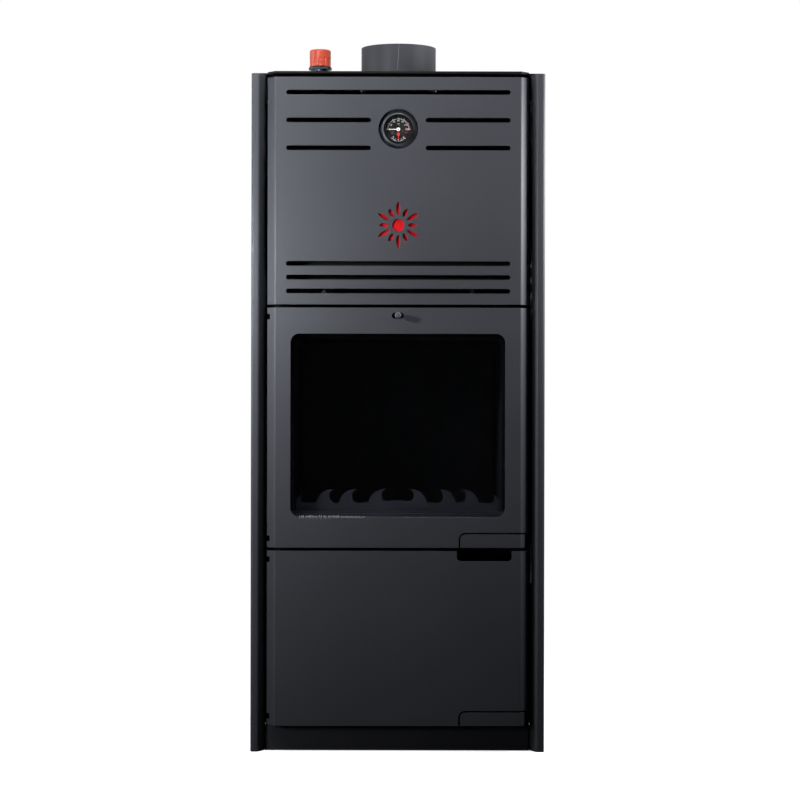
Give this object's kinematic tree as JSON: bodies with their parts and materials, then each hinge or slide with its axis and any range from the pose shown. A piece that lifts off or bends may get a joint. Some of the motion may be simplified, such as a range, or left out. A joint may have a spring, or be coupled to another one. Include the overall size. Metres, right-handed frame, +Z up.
{
  "type": "boiler fireplace",
  "caption": "Free-standing wood-fired boiler fireplace: slotted upper panel with a gauge, glazed fire door, ash door, flue collar and safety valve on top.",
  "frame": {"origin": "on the floor, under the middle of the bounding box", "axes": "+Z up, front towards -Y, +X to the right seen from the front"},
  "size_m": [0.56, 0.637, 1.38],
  "materials": {
    "casing_paint": "satin",
    "black_paint": "satin",
    "red_paint": "satin",
    "boiler_steel": "mill scale",
    "cast_iron": "as cast",
    "zinc": "zinc plated",
    "galvanised": "galvanised",
    "fibre": "woven",
    "wool": "matted",
    "ceramic_glass": "polished",
    "clear_glass": "polished",
    "black_plastic": "matte",
    "white_plastic": "matte",
    "red_plastic": "gloss",
    "grey_plastic": "satin",
    "valve_metal": "dull nickel"
  },
  "bodies": {
    "stove": {"left_side_panel": "casing_paint", "right_side_panel": "casing_paint", "upper_panel": "casing_paint", "flue_collar": "casing_paint", "plinth": "black_paint", "top_plate": "black_paint", "panel_brackets": "black_paint", "boiler_front_plate": "black_paint", "hinge_lugs": "black_paint", "latch_strikes": "black_paint", "log_guard": "black_paint", "sun_backing": "red_paint", "boiler_shell": "boiler_steel", "boiler_bottom": "boiler_steel", "boiler_lid": "boiler_steel", "firebox_shell": "boiler_steel", "firebox_floor": "boiler_steel", "firebox_crown": "boiler_steel", "smoke_box": "boiler_steel", "smoke_tubes": "boiler_steel", "hearth_plate": "boiler_steel", "baffle": "boiler_steel", "baffle_ledges": "boiler_steel", "air_duct": "boiler_steel", "water_sockets": "boiler_steel", "valve_stub": "boiler_steel", "grate": "cast_iron", "casing_screws": "zinc", "rear_panel": "galvanised", "insulation_mats": "wool", "gauge_glass": "clear_glass", "gauge_case": "black_plastic", "gauge_dial": "black_plastic", "gauge_rosette": "grey_plastic", "valve_body": "valve_metal"},
    "fire_door": {"fire_door_panel": "casing_paint", "fire_door_frame": "black_paint", "fire_door_rope": "fibre", "fire_door_hinge": "black_paint", "glass_pane": "ceramic_glass", "glass_tape": "fibre", "glass_clips": "black_paint", "fire_handle_bracket": "black_paint", "fire_handle_pin": "zinc", "slider_guide": "black_paint"},
    "fire_handle": {"fire_handle": "casing_paint"},
    "air_slider": {"air_slider": "black_paint", "air_knob": "casing_paint"},
    "ash_door": {"ash_door_panel": "casing_paint", "ash_door_frame": "black_paint", "ash_door_rope": "fibre", "ash_door_hinge": "black_paint", "ash_handle_bracket": "black_paint", "ash_handle_pin": "zinc"},
    "ash_handle": {"ash_handle": "casing_paint"},
    "ash_pan": {"ash_pan": "galvanised"},
    "valve_cap": {"valve_cap": "red_plastic"},
    "temperature_pointer": {"temperature_pointer": "white_plastic"},
    "pressure_pointer": {"pressure_pointer": "red_plastic"},
    "air_flap": {"air_flap": "boiler_steel"}
  },
  "joints": [
    {"name": "fire_door_hinge", "type": "hinge", "parent": "stove", "child": "fire_door", "pos_m": [-0.231, -0.281, 0.389], "axis": [0, 0, -1], "range_deg": [0, 90]},
    {"name": "ash_door_hinge", "type": "hinge", "parent": "stove", "child": "ash_door", "pos_m": [-0.231, -0.281, 0.05], "axis": [0, 0, -1], "range_deg": [0, 90]},
    {"name": "fire_handle_turn", "type": "hinge", "parent": "fire_door", "child": "fire_handle", "pos_m": [0.225, -0.2775, 0.389], "axis": [0, 0, 1], "range_deg": [0, 35]},
    {"name": "ash_handle_turn", "type": "hinge", "parent": "ash_door", "child": "ash_handle", "pos_m": [0.225, -0.2775, 0.05], "axis": [0, 0, 1], "range_deg": [0, 35]},
    {"name": "air_slide", "type": "slide", "parent": "fire_door", "child": "air_slider", "axis": [1, 0, 0], "range_m": [-0.007, 0.007]},
    {"name": "ash_pan_slide", "type": "slide", "parent": "stove", "child": "ash_pan", "axis": [0, -1, 0], "range_m": [0, 0.07]},
    {"name": "valve_cap_turn", "type": "hinge", "parent": "stove", "child": "valve_cap", "pos_m": [-0.159, 0.0085, 1.34], "axis": [0, 0, 1], "continuous": true},
    {"name": "temperature_turn", "type": "hinge", "parent": "stove", "child": "temperature_pointer", "pos_m": [0, -0.2845, 1.1865], "axis": [0, 1, 0], "range_deg": [0, 180]},
    {"name": "pressure_turn", "type": "hinge", "parent": "stove", "child": "pressure_pointer", "pos_m": [0, -0.2845, 1.1775], "axis": [0, -1, 0], "range_deg": [-55, 55]},
    {"name": "air_flap_hinge", "type": "hinge", "parent": "stove", "child": "air_flap", "pos_m": [0, 0.30815, 0.293], "axis": [1, 0, 0], "range_deg": [0, 60]}
  ]
}
